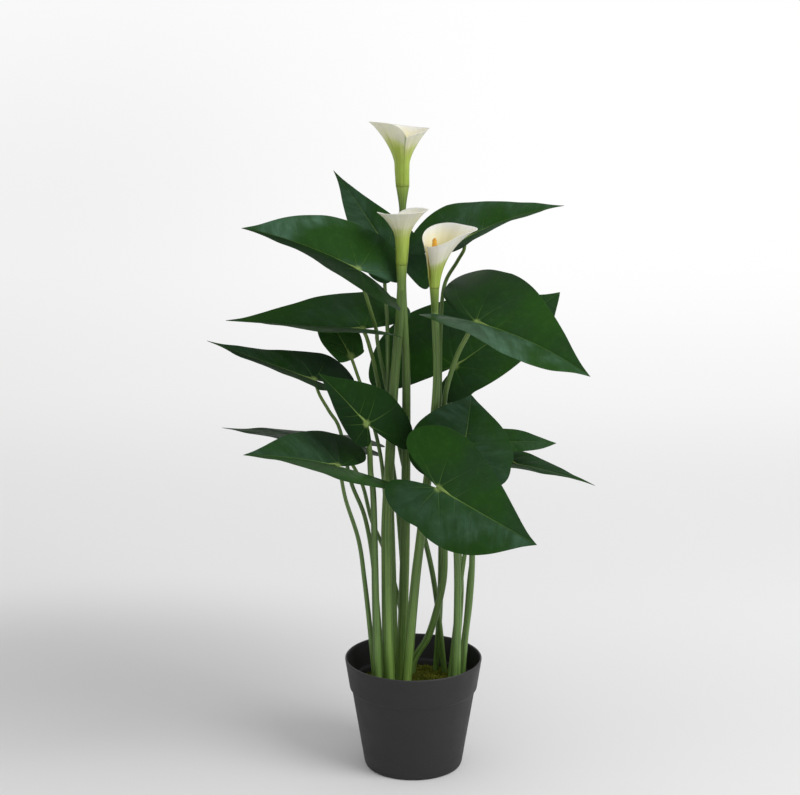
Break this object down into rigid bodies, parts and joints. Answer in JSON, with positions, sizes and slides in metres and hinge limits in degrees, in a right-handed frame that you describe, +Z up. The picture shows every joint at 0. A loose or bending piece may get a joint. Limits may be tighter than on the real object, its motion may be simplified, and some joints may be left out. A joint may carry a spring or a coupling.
{
  "type": "potted calla lily",
  "caption": "Calla lily in a round nursery pot: arrow-shaped green leaves on long stalks and white funnel flowers above them.",
  "frame": {"origin": "centre of the pot's flat underside", "axes": "+Z up along the pot's axis, -Y towards the side the flowers and most leaf faces look to, +X to the right seen from there"},
  "size_m": [0.4113, 0.2023, 0.7057],
  "materials": {
    "pot": "matte anthracite injection-moulded plastic",
    "soil": "dark crumbly potting soil",
    "moss": "matte olive moss",
    "blade": "semi-gloss dark green leaf with paler veins",
    "petiole": "satin green leaf stalk with fine grooves",
    "scape": "satin light green flower stalk",
    "spathe": "waxy white, yellow-green towards its base",
    "spadix": "matte orange-yellow, finely beaded"
  },
  "bodies": {
    "root": {"blade_back_left": "blade", "blade_bottom_back": "blade", "blade_bottom_front": "blade", "blade_bottom_left": "blade", "blade_bottom_right": "blade", "blade_centre_back": "blade", "blade_centre_front": "blade", "blade_low_left": "blade", "blade_mid_left": "blade", "blade_mid_right": "blade", "blade_small_left": "blade", "blade_small_right": "blade", "blade_top_left": "blade", "blade_top_right": "blade", "blade_upper_left": "blade", "moss": "moss", "petiole_back_left": "petiole", "petiole_bottom_back": "petiole", "petiole_bottom_front": "petiole", "petiole_bottom_left": "petiole", "petiole_bottom_right": "petiole", "petiole_centre_back": "petiole", "petiole_centre_front": "petiole", "petiole_low_left": "petiole", "petiole_mid_left": "petiole", "petiole_mid_right": "petiole", "petiole_small_left": "petiole", "petiole_small_right": "petiole", "petiole_top_left": "petiole", "petiole_top_right": "petiole", "petiole_upper_left": "petiole", "pot": "pot", "scape_left": "scape", "scape_right": "scape", "scape_top": "scape", "soil": "soil", "spadix_left": "spadix", "spadix_right": "spadix", "spadix_top": "spadix", "spathe_left": "spathe", "spathe_right": "spathe", "spathe_top": "spathe"}
  },
  "joints": []
}
